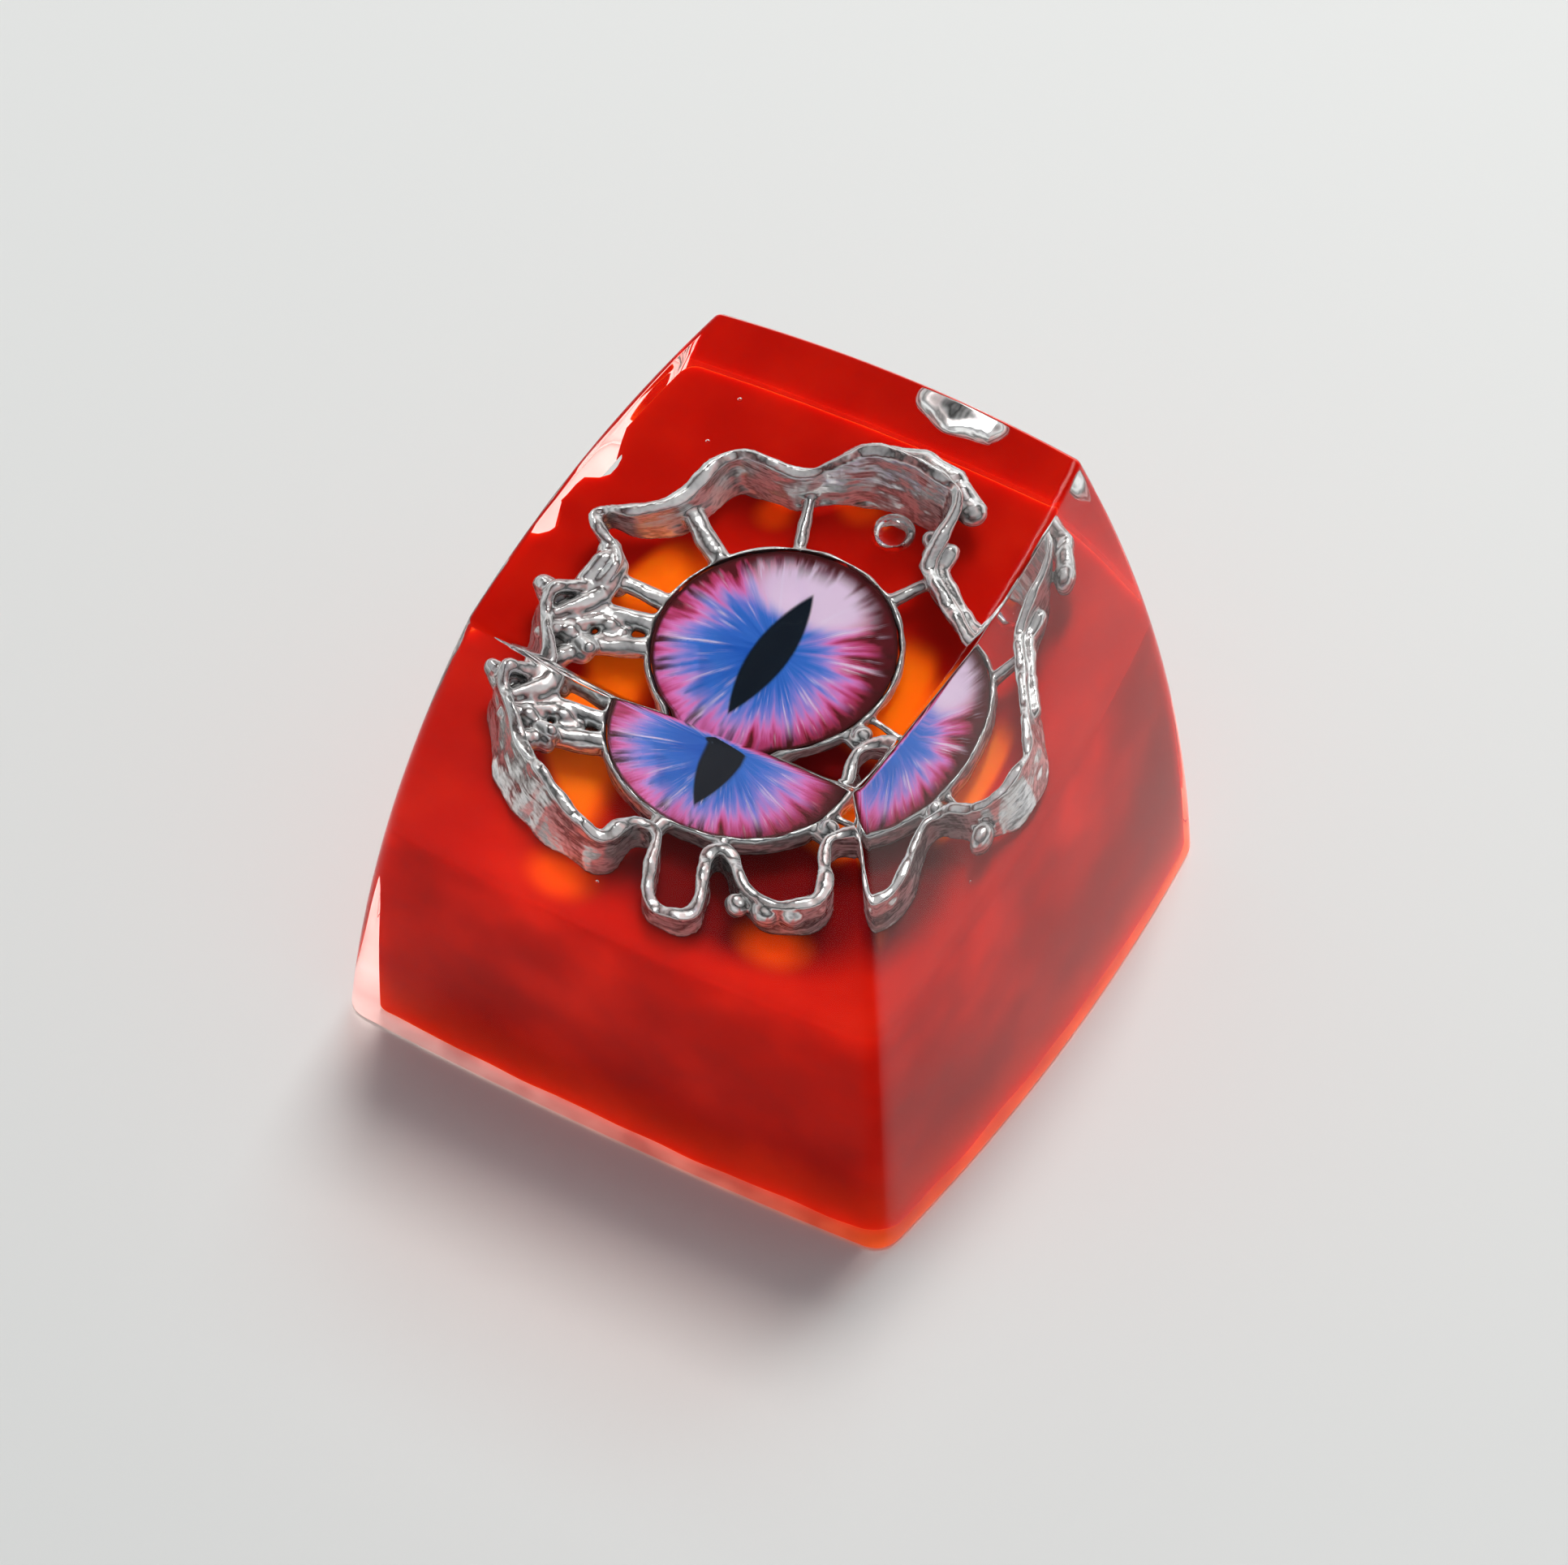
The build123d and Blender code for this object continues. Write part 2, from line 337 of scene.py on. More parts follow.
def clearResin():
    look = resinLook
    material, tree = newMaterial("clear casting resin, painted reflection")
    wave = addNode(tree, "ShaderNodeTexNoise", {"Scale": 1.0, "Detail": 1.0},
                   {"Vector": (seatCoords(tree, (look["wave"],) * 3), 0)})
    polish = addNode(tree, "ShaderNodeBump", {
        "Strength": look["waveStrength"], "Distance": look["waveDepth"] * mm}, {"Height": (wave, 0)})
    glass = addNode(tree, "ShaderNodeBsdfPrincipled", {
        "Base Color": linearHex(look["tint"]), "Roughness": look["roughness"], "IOR": look["ior"],
        "Specular Tint": linearHex(look["mirror"]), "Transmission Weight": 1.0}, {"Normal": (polish, 0)})
    skin = addNode(tree, "ShaderNodeNewGeometry")
    facing = addNode(tree, "ShaderNodeSeparateXYZ", links={0: (skin, "True Normal")})
    coords = addNode(tree, "ShaderNodeTexCoord")
    place = addNode(tree, "ShaderNodeSeparateXYZ", links={0: (coords, "Object")})
    aside = addNode(tree, "ShaderNodeMapRange", {
        "interpolation_type": "SMOOTHSTEP",
        "From Min": look["paintedReflectionFacing"][0], "From Max": look["paintedReflectionFacing"][1]}, {"Value": (facing, "X")})
    rightHalf = addNode(tree, "ShaderNodeMapRange", {
        "From Min": look["paintedReflectionFrom"][0] * mm, "From Max": look["paintedReflectionFrom"][1] * mm,
        "To Max": look["paintedReflectionStrength"]}, {"Value": (place, "X")})
    reflectionPatches = addNode(tree, "ShaderNodeTexNoise", {"Scale": 1.0, "Detail": 4.0},
                     {"Vector": (seatCoords(tree, look["reflectionPatches"]), 0)})
    patchy = addNode(tree, "ShaderNodeMapRange", {
        "To Min": look["reflectionPatchShare"][0], "To Max": look["reflectionPatchShare"][1]}, {"Value": (reflectionPatches, 0)})
    reflectionSide = addNode(tree, "ShaderNodeMath", {"operation": "MULTIPLY"}, {0: (aside, 0), 1: (rightHalf, 0)})
    share = addNode(tree, "ShaderNodeMath", {"operation": "MULTIPLY"}, {0: (reflectionSide, 0), 1: (patchy, 0)})
    # painted reflection: a pale diffuse haze mixed in on the right side, for the lit floor mirrored in that
    # wall
    reflectionHaze = addNode(tree, "ShaderNodeBsdfDiffuse", {"Color": linearHex(look["paintedReflectionColour"])})
    surface = addNode(tree, "ShaderNodeMixShader", links={0: (share, 0), 1: (glass, 0), 2: (reflectionHaze, 0)})
    # Lamp light goes straight through, with a slight tint
    lampPass = addNode(tree, "ShaderNodeBsdfTransparent", {"Color": linearHex(look["shadow"])})
    path = addNode(tree, "ShaderNodeLightPath")
    both = addNode(tree, "ShaderNodeMixShader", links={
        0: (path, "Is Shadow Ray"), 1: (surface, 0), 2: (lampPass, 0)})
    addNode(tree, "ShaderNodeOutputMaterial", links={"Surface": (both, 0)})
    return material


# The rim's foot, resin sanded flat and matt, with a painted glow for the light that runs down the clear wall,
# pale at the left and orange at the right. The grit is too fine to show, so the sanding is drawn as patches
# in that painted glow
sandedLook = {
    "left": "#ffe6e0", "right": "#ff6a30", "from": -7.0, "to": 8.0, "roughness": 0.8,
    "light": (0.17, 0.42), "patch": 1.7, "patchRange": (0.35, 0.7),
}


def sandedResin():
    look = sandedLook
    material, tree = newMaterial("sanded resin foot, painted glow")
    coords = addNode(tree, "ShaderNodeTexCoord")
    place = addNode(tree, "ShaderNodeSeparateXYZ", links={0: (coords, "Object")})
    share = addNode(tree, "ShaderNodeMapRange", {"From Min": look["from"] * mm, "From Max": look["to"] * mm},
                    {"Value": (place, "X")})
    tint = addNode(tree, "ShaderNodeMix", {
        "data_type": "RGBA", 6: linearHex(look["left"]), 7: linearHex(look["right"])}, {0: (share, 0)})
    patches = addNode(tree, "ShaderNodeTexNoise", {"Scale": 1 / (look["patch"] * mm), "Detail": 2.0},
                      {"Vector": (coords, "Object")})
    uneven = addNode(tree, "ShaderNodeMapRange", {
        "From Min": look["patchRange"][0], "From Max": look["patchRange"][1],
        "To Min": look["light"][0], "To Max": look["light"][1]}, {"Value": (patches, 0)})
    # painted glow: the tint is the colour and also an emission, patchy in strength
    shader = addNode(tree, "ShaderNodeBsdfPrincipled", {
        "Roughness": look["roughness"], "Specular IOR Level": 0.0},
        {"Base Color": (tint, 2), "Emission Color": (tint, 2), "Emission Strength": (uneven, 0)})
    addNode(tree, "ShaderNodeOutputMaterial", links={"Surface": (shader, 0)})
    return material


clearBody = buildClearBody(clearResin(), sandedResin())
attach(clearBody, "root")
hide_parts("clear_body")
print("clear body faces:", len(clearBody.data.polygons))

# The red casting: its outside reaches nearly to the clear wall's face at the shoulder, and it is hollow
# below. Gaps at the foot go front, right, back, left. Chips in the left shoulder: share along the wall,
# half width, depth
coreShape = {
    "shoulderGap": 0.08, "foot": 0.2, "footWave": 0.12, "footWaveScale": 0.6,
    "footGaps": (0.75, 0.6, 0.5, 0.95), "roof": 2.0, "corner": 0.5,
    "rows": 24, "topRows": (0.3, 0.6, 0.9, 0.985),
    "chips": [(0.24, 0.05, 0.6), (0.42, 0.03, 0.4)], "chipSide": 3,
    "postRadius": 2.75, "postRecess": 0.4, "postLap": 0.2, "postSteps": 72,
    "socketLength": 4.1, "socketWidth": 1.3, "socketDepth": 3.8,
}


def crossReach(turn):
    # Distance from the post's axis to the wall of its cross socket
    x, y = max(abs(math.cos(turn)), 1e-6), max(abs(math.sin(turn)), 1e-6)
    far, near = coreShape["socketLength"] / 2, coreShape["socketWidth"] / 2
    return max(min(far / x, near / y), min(near / x, far / y))


def coreGap(column):
    # Clear gap at the shoulder
    kind, side, share = column
    chips = coreShape["chips"] if kind == "wall" and side == coreShape["chipSide"] else []
    return coreShape["shoulderGap"] + sum(d * math.exp(-((share - at) / w) ** 4) for at, w, d in chips)


def coreFootGap(column):
    kind, side, share = column
    gaps = coreShape["footGaps"]
    return gaps[side] if kind == "wall" else mix(gaps[side], gaps[(side + 1) % 4], share)


def buildCore(material):
    shape = coreShape
    columns = capColumns()
    tilt = eyeSeat["tilt"]
    seatDrop = (eyeSeat["foot"] - eyeSeat["coreGap"]) / math.cos(seatLean)
    coreTop = eyeSeat["z"] + seatDrop - eyeSeat["y"] * math.tan(seatLean)
    gaps = [coreGap(c) for c in columns]
    brink = [meetPlane(c, gap, lambda z: shape["corner"], coreTop, tilt) for c, gap in zip(columns, gaps)]
    middle = Vector((0, capShape["middleY"], planeHeight(capShape["middleY"], coreTop, tilt)))
    edge = [columnPoint(c, z, gap, shape["corner"]) for c, z, gap in zip(columns, brink, gaps)]
    feet = [shape["foot"] + shape["footWave"] * noise.noise(p * shape["footWaveScale"]) for p in edge]
    rows = [[middle + (p - middle) * share for p in edge] for share in shape["topRows"]]
    for step in range(shape["rows"] + 1):
        share = step / shape["rows"]
        rows.append([
            columnPoint(c, mix(z, foot, share), mix(gap, coreFootGap(c), share), shape["corner"])
            for c, z, gap, foot in zip(columns, brink, gaps, feet)
        ])
    ceiling = coreTop - shape["roof"]
    cavityInset = capShape["clearWall"] + capShape["coreWall"]
    rows.append([columnPoint(c, z, cavityInset, capShape["cavityCorner"]) for c, z in zip(columns, feet)])
    rows.append([columnPoint(c, ceiling, cavityInset, capShape["cavityCorner"]) for c in columns])
    points, faces = skinRows(rows, middle, Vector((0, 0, ceiling)))
    # The post, with points at every corner of its cross socket
    far, near = shape["socketLength"] / 2, shape["socketWidth"] / 2
    bends = (math.atan2(near, far), math.pi / 4, math.atan2(far, near))
    corners = [quarter * math.pi / 2 + bend for quarter in range(4) for bend in bends]
    turns = sorted(set([2 * math.pi * k / shape["postSteps"] for k in range(shape["postSteps"])] + corners))
    socketTop = shape["postRecess"] + shape["socketDepth"]
    radius = shape["postRadius"]
    post = []
    for z in (ceiling + shape["postLap"], shape["postRecess"]):
        post.append([Vector((radius * math.cos(t), radius * math.sin(t), z)) for t in turns])
    for z in (shape["postRecess"], socketTop):
        post.append([Vector((crossReach(t) * math.cos(t), crossReach(t) * math.sin(t), z)) for t in turns])
    postPoints, postFaces = skinRows(post, None, Vector((0, 0, socketTop)))
    faces += [tuple(index + len(points) for index in face) for face in postFaces]
    return makeObject("redCore", points + postPoints, faces, material, smooth=False)


# Pigmented red casting resin, where light sinks in a little. Its deep red carries painted light: an orange
# glow painted beside the eye, a painted shade in front of it, painted glow spots, a brighter painted foot and
# a painted glow inside.
# Layers: colour, then where it shows, each a measure with a soft start and end. Spots: x, y and size
redLook = {
    "deep": "#b41208", "roughness": 0.5, "sink": 1.2, "sinkColour": (1.0, 0.25, 0.08),
    "edge": 1.2, "edgeSamples": 8,
    "layers": [
        ("#bb190a", [("cloud", 0.42, 0.72)]),
        # painted glow: orange to either side of the eye, within its reach and short of the back
        ("#ff6a0a", [("aside", 2.1, 3.1), ("reach", 5.0, 4.5), ("backward", 2.6, 1.4)]),
        # painted shade: dark maroon in front of the eye and to its front right, inside an ellipse
        ("#6a0a0c", [("shade", 1.25, 0.75)]),
    ],
    # painted glow: orange spots under the ribbons
    "glowSpots": [(-2.6, -6.5, 1.4), (3.6, -5.6, 1.4), (-0.6, 5.6, 0.9), (-2.6, 4.3, 0.8)],
    "glowSpotLayer": [("#f04808", [("spot", 1.0, 0.2)])],
    # painted glow: orange-red near the foot
    "footGlowLayer": [("#dc3010", [("height", 2.3, 0.3)])],
    "glowShift": (-0.4, 0.0, 0.0), "shadeSize": (3.9, 2.9, 2.5), "shadeShift": (2.0, -3.9, -0.75),
    "cloudSize": (3.0, 3.0, 2.0), "cloudRange": (0.3, 0.7), "cloudLight": (0.55, 1.4),
    # painted glow inside: emission strengths at the foot, shoulder, top and back, and where they change
    "lightFoot": 0.18, "lightShoulder": 0.66, "lightTop": 0.20, "lightBack": 0.35,
    "wallFrom": 1.0, "wallTo": 7.0, "backFrom": 4.5, "backTo": 7.0,
    "topFacing": (0.3, 0.95), "sharpBack": (4.0, 5.5),
}


def redResin():
    look = redLook
    material, tree = newMaterial("pigmented red resin, painted glow and shade")
    seatPlace = addNode(tree, "ShaderNodeSeparateXYZ", links={0: (seatCoords(tree, (1, 1, 1)), 0)})
    aside = addNode(tree, "ShaderNodeMath", {"operation": "ABSOLUTE"}, {0: (seatPlace, "X")})
    reach = addNode(tree, "ShaderNodeVectorMath", {"operation": "LENGTH"},
                    {0: (seatCoords(tree, (1, 1, 1), look["glowShift"]), 0)})
    shade = addNode(tree, "ShaderNodeVectorMath", {"operation": "LENGTH"},
                    {0: (seatCoords(tree, look["shadeSize"], look["shadeShift"]), 0)})
    cloud = addNode(tree, "ShaderNodeTexNoise", {"Scale": 1.0, "Detail": 3.0},
                    {"Vector": (seatCoords(tree, look["cloudSize"]), 0)})
    coords = addNode(tree, "ShaderNodeTexCoord")
    place = addNode(tree, "ShaderNodeSeparateXYZ", links={0: (coords, "Object")})
    measures = {
        "cloud": (cloud, 0, 1), "aside": (aside, 0, 1), "reach": (reach, "Value", 1),
        "backward": (seatPlace, "Y", 1), "shade": (shade, "Value", 1), "height": (place, "Z", mm),
    }
    red = paintLayers(tree, look["deep"], look["layers"], measures)
    # painted glow spots
    for x, y, size in look["glowSpots"]:
        spot = addNode(tree, "ShaderNodeVectorMath", {"operation": "LENGTH"},
                       {0: (seatCoords(tree, (size,) * 3, (x, y, look["shadeShift"][2])), 0)})
        red = paintLayers(tree, red, look["glowSpotLayer"], {"spot": (spot, "Value", 1)})
    # painted glow at the foot
    red = paintLayers(tree, red, look["footGlowLayer"], measures)
    # Painted glow, an emission that stands for light held inside: more at the shoulder, less at the foot, on
    # the top and at the back, and cloudy
    wallLight = addNode(tree, "ShaderNodeMapRange", {
        "From Min": look["wallFrom"] * mm, "From Max": look["wallTo"] * mm,
        "To Min": look["lightFoot"], "To Max": look["lightShoulder"]}, {"Value": (place, "Z")})
    behind = addNode(tree, "ShaderNodeMapRange", {
        "From Min": look["backFrom"] * mm, "From Max": look["backTo"] * mm,
        "To Min": 1.0, "To Max": look["lightBack"]}, {"Value": (place, "Y")})
    sideLight = addNode(tree, "ShaderNodeMath", {"operation": "MULTIPLY"},
                        {0: (wallLight, 0), 1: (behind, 0)})
    soft = addNode(tree, "ShaderNodeBevel", {"samples": look["edgeSamples"], "Radius": look["edge"] * mm})
    level = addNode(tree, "ShaderNodeSeparateXYZ", links={0: (soft, 0)})
    topShare = addNode(tree, "ShaderNodeMapRange", {
        "interpolation_type": "SMOOTHSTEP",
        "From Min": look["topFacing"][0], "From Max": look["topFacing"][1]}, {"Value": (level, "Z")})
    light = addNode(tree, "ShaderNodeMix", {"data_type": "FLOAT", 3: look["lightTop"]},
                    {0: (topShare, 0), 2: (sideLight, 0)})
    cloudyGlow = addNode(tree, "ShaderNodeMapRange", {
        "From Min": look["cloudRange"][0], "From Max": look["cloudRange"][1],
        "To Min": look["cloudLight"][0], "To Max": look["cloudLight"][1]}, {"Value": (cloud, 0)})
    inside = addNode(tree, "ShaderNodeMath", {"operation": "MULTIPLY"}, {0: (light, 0), 1: (cloudyGlow, 0)})
    # The shoulder looks soft, but for the back, which is seen mirrored in the clear wall
    skin = addNode(tree, "ShaderNodeNewGeometry")
    backShare = addNode(tree, "ShaderNodeMapRange", {
        "interpolation_type": "SMOOTHSTEP",
        "From Min": look["sharpBack"][0] * mm, "From Max": look["sharpBack"][1] * mm},
        {"Value": (place, "Y")})
    facing = addNode(tree, "ShaderNodeMix", {"data_type": "VECTOR"}, {
        0: (backShare, 0), 4: (soft, 0), 5: (skin, "Normal")})
    shader = addNode(tree, "ShaderNodeBsdfPrincipled", {
        "Roughness": look["roughness"], "Specular IOR Level": 0.0, "Subsurface Weight": 1.0,
        "Subsurface Scale": look["sink"] * mm, "Subsurface Radius": look["sinkColour"]},
        {"Base Color": red, "Emission Color": red, "Emission Strength": (inside, 0), "Normal": (facing, 1)})
    addNode(tree, "ShaderNodeOutputMaterial", links={"Surface": (shader, 0)})
    return material


core = buildCore(redResin())
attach(core, "root")
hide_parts("red_core")
print("core faces:", len(core.data.polygons))

# Cast silver alloy, tumbled bright: its colour is painted reflection, from near white to near black as its
# faces turn, with painted shade in the recesses, drawn ridges and soft dimples
silverLook = {
    "toward": (0.35, -0.30, 0.89),
    # painted reflection: tones by how far each bumped face turns toward one direction
    "reflectionTones": [
        (0.0, "#1c1c1c"), (0.24, "#6c6e6e"), (0.35, "#e6ecec"), (0.44, "#3c3e3e"), (0.54, "#dce0e0"),
        (0.63, "#747676"), (0.72, "#f0f6f6"), (0.78, "#a4a8a8"), (0.86, "#faffff"), (0.94, "#4c4e4e"),
        (1.0, "#f6fafa"),
    ],
    # painted shade in the recesses: colour, reach, range and samples
    "recess": "#2b2724", "recessReach": 0.45, "recessRange": (0.8, 0.3), "recessSamples": 6,
    "metal": 0.55, "roughness": (0.1, 0.3), "ridge": (1.6, 1.6, 0.30), "ridgeStrength": 0.5,
    "dimple": 0.55, "dimpleStrength": 0.6, "bumpDepth": 0.1,
}


def castSilver():
    look = silverLook
    material, tree = newMaterial("cast silver, painted reflection and shade")
    ridges = addNode(tree, "ShaderNodeTexNoise", {"Scale": 1.0, "Detail": 2.0},
                     {"Vector": (seatCoords(tree, look["ridge"]), 0)})
    dimples = addNode(tree, "ShaderNodeTexNoise", {"Scale": 1.0, "Detail": 2.0},
                      {"Vector": (seatCoords(tree, (look["dimple"],) * 3), 0)})
    ridged = addNode(tree, "ShaderNodeBump", {
        "Strength": look["ridgeStrength"], "Distance": look["bumpDepth"] * mm}, {"Height": (ridges, 0)})
    worn = addNode(tree, "ShaderNodeBump", {
        "Strength": look["dimpleStrength"], "Distance": look["bumpDepth"] * mm},
        {"Height": (dimples, 0), "Normal": (ridged, 0)})
    # painted reflection: the face's turn toward that direction picks its tone
    turned = addNode(tree, "ShaderNodeVectorMath", {"operation": "DOT_PRODUCT", 1: look["toward"]},
                     {0: (worn, 0)})
    share = addNode(tree, "ShaderNodeMapRange", {"From Min": -1.0}, {"Value": (turned, "Value")})
    reflectionTones = addNode(tree, "ShaderNodeValToRGB", links={0: (share, 0)})
    setRamp(reflectionTones, look["reflectionTones"])
    # painted shade: darker where the surface is closed in
    openness = addNode(tree, "ShaderNodeAmbientOcclusion", {
        "samples": look["recessSamples"], "Distance": look["recessReach"] * mm})
    closed = addNode(tree, "ShaderNodeMapRange", {
        "interpolation_type": "SMOOTHSTEP",
        "From Min": look["recessRange"][0], "From Max": look["recessRange"][1]}, {"Value": (openness, "AO")})
    tone = addNode(tree, "ShaderNodeMix", {"data_type": "RGBA", 7: linearHex(look["recess"])},
                   {0: (closed, 0), 6: (reflectionTones, 0)})
    rough = addNode(tree, "ShaderNodeMapRange", {
        "To Min": look["roughness"][0], "To Max": look["roughness"][1]}, {"Value": (dimples, 0)})
    shader = addNode(tree, "ShaderNodeBsdfPrincipled", {"Metallic": look["metal"]},
                     {"Base Color": (tone, 2), "Roughness": (rough, 0), "Normal": (worn, 0)})
    addNode(tree, "ShaderNodeOutputMaterial", links={"Surface": (shader, 0)})
    return material


# The ruffled ribbon: bends once round the eye, with angle, reach from the eye's middle, radius (minus for
# an inward bend), lean of the top edge, and the heights of its lower and upper edges over the seat.
# Drops are blobs of metal left by the casting: angle, reach, height, radius. Crumples join two such places.
# Struts run from the bezel out to an angle, reach and height, with a radius
ruffle = {
    "bends": [
        (-168, 6.95, 0.45, -0.30, -0.60, 0.80),
        (-138, 6.95, 3.20, -0.80, -0.65, 0.85),
        (-108, 6.40, 0.45, -0.30, -0.65, 0.55),
        (-100, 4.30, -0.25, 0.00, -0.60, 0.40),
        (-83, 7.20, 1.00, 0.00, -0.65, 0.10),
        (-71, 4.05, -0.20, 0.00, -0.55, 0.20),
        (-51, 6.50, 1.45, 0.00, -0.70, 0.35),
        (-25, 4.35, -0.50, 0.00, -0.50, 0.35),
        (5, 7.30, 1.70, -0.60, -0.65, 0.65),
        (56, 4.95, -0.60, -0.10, -0.55, 0.85),
        (75, 6.25, 0.80, 0.85, -0.45, 1.50),
        (94, 6.05, 0.85, 1.00, -0.45, 1.50),
        (113, 5.35, -1.20, 0.60, -0.45, 0.85),
        (130, 6.25, 0.45, 0.65, -0.45, 0.90),
        (149, 5.35, -1.50, 0.45, -0.40, 0.80),
        (166, 6.95, 0.45, 0.20, -0.30, 0.65),
        (179, 5.20, -0.50, 0.10, -0.50, 0.70),
    ],
    "drops": [
        (-66, 5.90, -0.10, 0.34), (-59, 6.15, -0.10, 0.38), (-52, 6.20, -0.05, 0.40),
        (-45, 6.00, -0.10, 0.36), (-12, 6.35, -0.10, 0.48), (-21, 3.75, 0.00, 0.30),
        (-169, 6.50, 0.20, 0.34), (-158, 5.60, 0.15, 0.40), (-163, 4.60, 0.00, 0.34),
        (-151, 5.20, 0.05, 0.34), (70, 5.50, 0.10, 0.28), (66, 5.20, 0.00, 0.26), (63, 4.90, 0.10, 0.24),
    ],
    "crumples": [
        ((-171, 6.7, 0.35), (-160, 5.3, 0.05), 0.30), ((-165, 6.3, -0.25), (-152, 5.0, 0.30), 0.27),
        ((-157, 6.3, 0.30), (-167, 4.6, 0.00), 0.26), ((-150, 5.8, 0.10), (-161, 4.2, -0.15), 0.28),
        ((176, 5.6, 0.45), (-168, 5.9, 0.15), 0.26), ((171, 5.8, 0.30), (-179, 4.9, -0.20), 0.28),
        ((-174, 5.0, 0.30), (-163, 6.0, 0.45), 0.22), ((69, 6.85, 0.20), (78, 7.28, 0.12), 0.40),
        ((78, 7.28, 0.12), (87, 7.36, 0.12), 0.42), ((87, 7.36, 0.12), (95, 7.12, 0.15), 0.38),
        ((172, 5.8, 0.30), (176, 5.15, 0.25), 0.30), ((176, 5.15, 0.25), (-174, 5.05, 0.25), 0.28),
        ((-174, 5.05, 0.25), (-165, 5.6, 0.25), 0.30), ((62, 5.6, 0.35), (58, 5.0, 0.30), 0.27),
        ((58, 5.0, 0.30), (40, 5.1, 0.25), 0.26), ((40, 5.1, 0.25), (28, 5.6, 0.15), 0.26),
    ],
    "struts": [
        (-155, 6.4, 0.0, 0.30), (-168, 5.2, 0.0, 0.30), (-100, 4.2, -0.1, 0.26), (-71, 3.9, -0.1, 0.22),
        (-25, 4.2, -0.1, 0.2), (-12, 6.6, -0.1, 0.09), (57, 4.7, 0.0, 0.2), (110, 5.3, -0.1, 0.17),
        (146, 5.3, 0.1, 0.3), (179, 5.0, 0.1, 0.25),
    ],
    "strutReach": 3.45, "strutLevel": -0.15, "rodTaper": 1.15, "rodSides": 20,
    "thickness": 0.42, "lip": 0.2, "lipRound": 0.08, "acrossSteps": 8,
    "step": 0.06, "fewestSteps": 4, "easing": 60,
    "uneven": 0.3, "swell": 0.5, "lowNoise": 3.0, "highNoise": 9.0, "swellNoise": 6.0,
    "bezelInner": 3.32, "bezelOuter": 3.54, "bezelTop": 0.14, "bezelSteps": 200, "bezelSides": 12,
    "voxel": 0.064, "tumble": 4, "tumbleShare": 0.5, "castWave": 0.05, "castScale": 0.55,
}


def ribbonPath():
    # Points of the ribbon's middle line, each with its outward direction and the bend values there
    arcs, values = [], []
    for angle, reach, radius, lean, low, high in ruffle["bends"]:
        turn = math.radians(angle)
        centre = Vector((math.cos(turn), math.sin(turn))) * (reach - radius)
        arcs.append((centre, radius - ruffle["thickness"] / 2))
        values.append(Vector((lean, low, high)))
    pairs = list(zip(arcs, arcs[1:] + arcs[:1]))
    facings = []
    for (centre, radius), (nextCentre, nextRadius) in pairs:
        run = nextCentre - centre
        facings.append(math.atan2(run.y, run.x) - math.acos((radius - nextRadius) / run.length))
    path = []
    for index, ((centre, radius), (nextCentre, nextRadius)) in enumerate(pairs):
        start = facings[index - 1]
        swing = (facings[index] - start) % (2 * math.pi)
        if radius < 0:
            swing -= 2 * math.pi
        steps = max(ruffle["fewestSteps"], int(abs(swing * radius) / ruffle["step"]))
        for k in range(steps + 1):
            facing = start + swing * k / steps
            out = Vector((math.cos(facing), math.sin(facing)))
            path.append([centre + out * radius, out, values[index] if k == steps // 2 else None])
        # The straight run to the next bend
        out = Vector((math.cos(facings[index]), math.sin(facings[index])))
        begin = centre + out * radius
        end = nextCentre + out * nextRadius
        straight = int((end - begin).length / ruffle["step"])
        for k in range(1, straight):
            path.append([begin.lerp(end, k / straight), out, None])
    count = len(path)
    marks = [k for k, station in enumerate(path) if station[2] is not None]
    for low, high in zip(marks, marks[1:] + [marks[0] + count]):
        first = path[low][2]
        last = path[high % count][2]
        for k in range(low + 1, high):
            ease = (1 - math.cos(math.pi * (k - low) / (high - low))) / 2
            path[k % count][2] = first.lerp(last, ease)
    places = [station[0] for station in path]
    for turn in range(ruffle["easing"]):
        places = [(places[k - 1] + places[k] * 2 + places[(k + 1) % count]) / 4 for k in range(count)]
    for k, station in enumerate(path):
        along = (places[(k + 1) % count] - places[k - 1]).normalized()
        station[0] = places[k]
        station[1] = Vector((along.y, -along.x))
    return path


def addTube(work, rows):
    # A closed ring of sections
    points, faces = skinRows(rows + [rows[0]])
    total = len(points) - len(rows[0])
    verts = [work.verts.new(Vector(p) * mm) for p in points[:total]]
    for face in faces:
        work.faces.new([verts[k % total] for k in face])


def addRod(work, start, end, radius):
    axis = end - start
    spin = axis.to_track_quat("Z", "Y").to_matrix().to_4x4()
    bmesh.ops.create_cone(work, cap_ends=True, segments=ruffle["rodSides"], depth=axis.length * mm,
                          radius1=radius * ruffle["rodTaper"] * mm, radius2=radius * mm,
                          matrix=Matrix.Translation((start + end) / 2 * mm) @ spin)


def ribbonSection():
    # Places across the ribbon: share of its height, and share of its half thickness. Both edges have a lip
    levels = [k / ruffle["acrossSteps"] for k in range(ruffle["acrossSteps"] + 1)]
    swell = [1 - ruffle["lip"] * (1 - (2 * level - 1) ** 4) for level in levels]
    outside = list(zip(levels, swell))
    inside = [(level, -half) for level, half in reversed(outside)]
    return outside + [(1 + ruffle["lipRound"], 0)] + inside + [(-ruffle["lipRound"], 0)]


